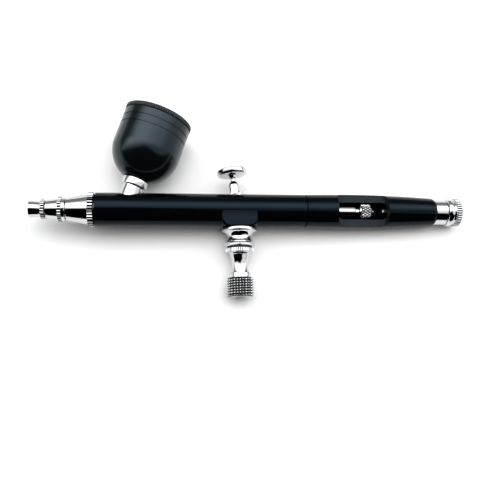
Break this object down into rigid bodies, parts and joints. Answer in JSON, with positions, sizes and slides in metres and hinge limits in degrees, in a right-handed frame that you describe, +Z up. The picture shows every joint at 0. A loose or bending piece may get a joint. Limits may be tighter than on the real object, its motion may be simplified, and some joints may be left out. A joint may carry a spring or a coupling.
{
  "type": "airbrush gun",
  "caption": "Double-action gravity-feed airbrush with a tilted lidded paint cup, top trigger, cut-away handle with a preset stop, and a bottom air valve.",
  "frame": {"origin": "where the air valve's axis crosses the barrel's axis", "axes": "+X along the barrel from the nozzle to the tail, +Z up to the paint cup, -Z along the air valve to the inlet thread"},
  "size_m": [0.1565, 0.0246, 0.0698],
  "materials": {
    "black_anodised": "black anodised, satin",
    "chrome": "bright polished",
    "steel": "stainless, ground",
    "brass": "machined",
    "ptfe": "white PTFE",
    "rubber": "black nitrile"
  },
  "bodies": {
    "airbrush_body": {"barrel": "black_anodised", "needle_packing": "ptfe", "packing_screw": "brass", "head_body": "chrome", "head_seal": "ptfe", "fluid_nozzle": "brass", "nozzle_seal": "ptfe", "nozzle_cap": "chrome", "cup_neck": "chrome", "cup_seal": "ptfe", "cup_bowl": "black_anodised", "spring_case": "chrome", "handle": "black_anodised", "tail_sleeve": "chrome", "stop_seal": "rubber", "valve_body": "chrome", "valve_packing": "ptfe", "inlet_seal": "rubber", "inlet_nipple": "chrome", "valve_screw": "brass", "valve_spring": "steel", "needle_spring": "steel"},
    "needle_cap": {"needle_cap": "chrome"},
    "cup_lid": {"cup_lid": "black_anodised"},
    "air_plunger": {"valve_plunger": "brass", "valve_poppet": "brass", "poppet_seal": "rubber"},
    "trigger": {"trigger_stem": "chrome", "trigger_pad": "chrome"},
    "lever": {"auxiliary_lever": "steel"},
    "needle_carriage": {"needle": "steel", "needle_guide": "chrome"},
    "chuck_nut": {"chuck_nut": "chrome"},
    "preset_stop": {"stop_rod": "steel"},
    "preset_knob": {"preset_knob": "chrome"}
  },
  "joints": [
    {"name": "trigger_press", "type": "slide", "parent": "airbrush_body", "child": "air_plunger", "axis": [0, 0, -1], "range_m": [0, 0.002], "stiffness_N_per_m": 900, "springref_m": -0.003, "deforming": ["valve_spring"]},
    {"name": "trigger_pull", "type": "hinge", "parent": "air_plunger", "child": "trigger", "pos_m": [0, 0, -0.006], "axis": [0, 1, 0], "range_deg": [0, 18], "stiffness_Nm_per_rad": 0.12, "springref_deg": -11.46, "deforming": ["needle_spring"]},
    {"name": "lever_rock", "type": "hinge", "parent": "airbrush_body", "child": "lever", "pos_m": [0.003, 0, -0.0026], "axis": [0, 1, 0], "range_deg": [0, 32]},
    {"name": "needle_draw", "type": "slide", "parent": "airbrush_body", "child": "needle_carriage", "axis": [1, 0, 0], "range_m": [0, 0.0027]},
    {"name": "chuck_nut_turn", "type": "hinge", "parent": "needle_carriage", "child": "chuck_nut", "pos_m": [0.047, 0, 0], "axis": [1, 0, 0], "range_deg": [0, 360]},
    {"name": "preset_turn", "type": "hinge", "parent": "preset_stop", "child": "preset_knob", "pos_m": [0.081, 0, 0], "axis": [1, 0, 0], "range_deg": [0, 2160]},
    {"name": "preset_travel", "type": "slide", "parent": "airbrush_body", "child": "preset_stop", "axis": [1, 0, 0], "range_m": [0, 0.003]},
    {"name": "lid_lift", "type": "slide", "parent": "airbrush_body", "child": "cup_lid", "axis": [0.3256, 0, 0.9455], "range_m": [0, 0.012]},
    {"name": "needle_cap_off", "type": "slide", "parent": "airbrush_body", "child": "needle_cap", "axis": [-1, 0, 0], "range_m": [0, 0.006]}
  ],
  "couplings": [
    {"joint": "lever_rock", "follows": "trigger_pull", "ratio": 1.75},
    {"joint": "needle_draw", "follows": "trigger_pull", "m_per_rad": 0.008435},
    {"joint": "preset_turn", "follows": "preset_travel", "rad_per_m": 12566}
  ]
}
